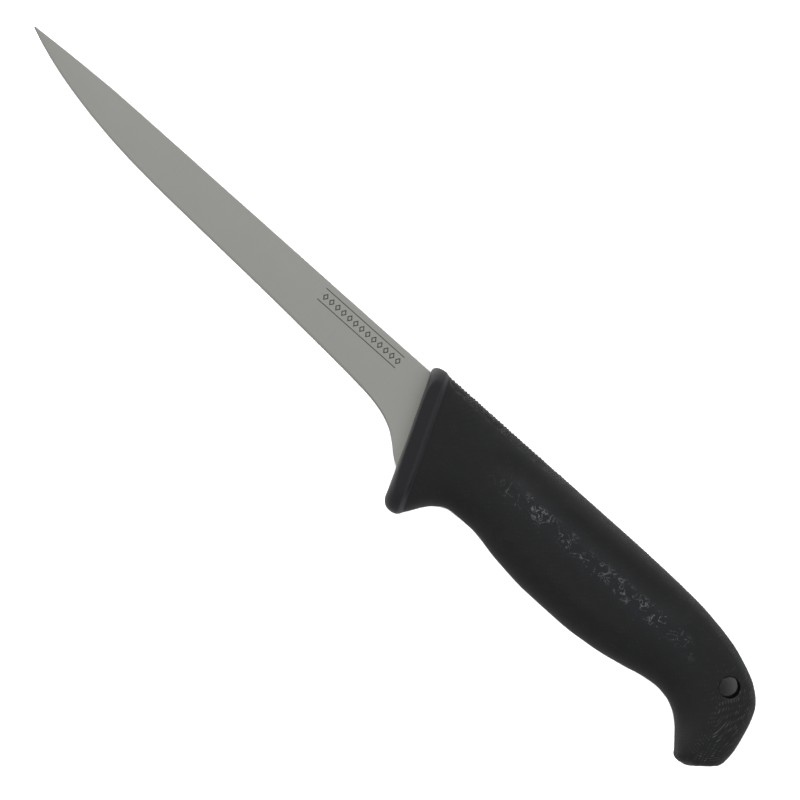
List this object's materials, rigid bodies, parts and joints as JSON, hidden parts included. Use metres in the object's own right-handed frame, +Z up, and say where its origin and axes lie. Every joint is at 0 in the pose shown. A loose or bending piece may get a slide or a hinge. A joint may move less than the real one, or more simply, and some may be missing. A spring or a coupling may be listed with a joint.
{
  "type": "boning knife",
  "caption": "Narrow stiff boning knife: straight tapered steel blade with a curved heel, in a dark moulded polymer handle with a guard, hooked butt and lanyard hole.",
  "frame": {"origin": "centre of the knife's box, on the plane that it lies on", "axes": "+X to the blade's point, +Y to the cutting edge, +Z up through the thickness; the knife lies on its side"},
  "size_m": [0.288, 0.0406, 0.022],
  "materials": {
    "blade_steel": "satin ground, matte grey",
    "handle_polymer": "moulded, fine grip texture, smoother collar"
  },
  "bodies": {
    "root": {"blade": "blade_steel", "handle": "handle_polymer"}
  },
  "joints": []
}
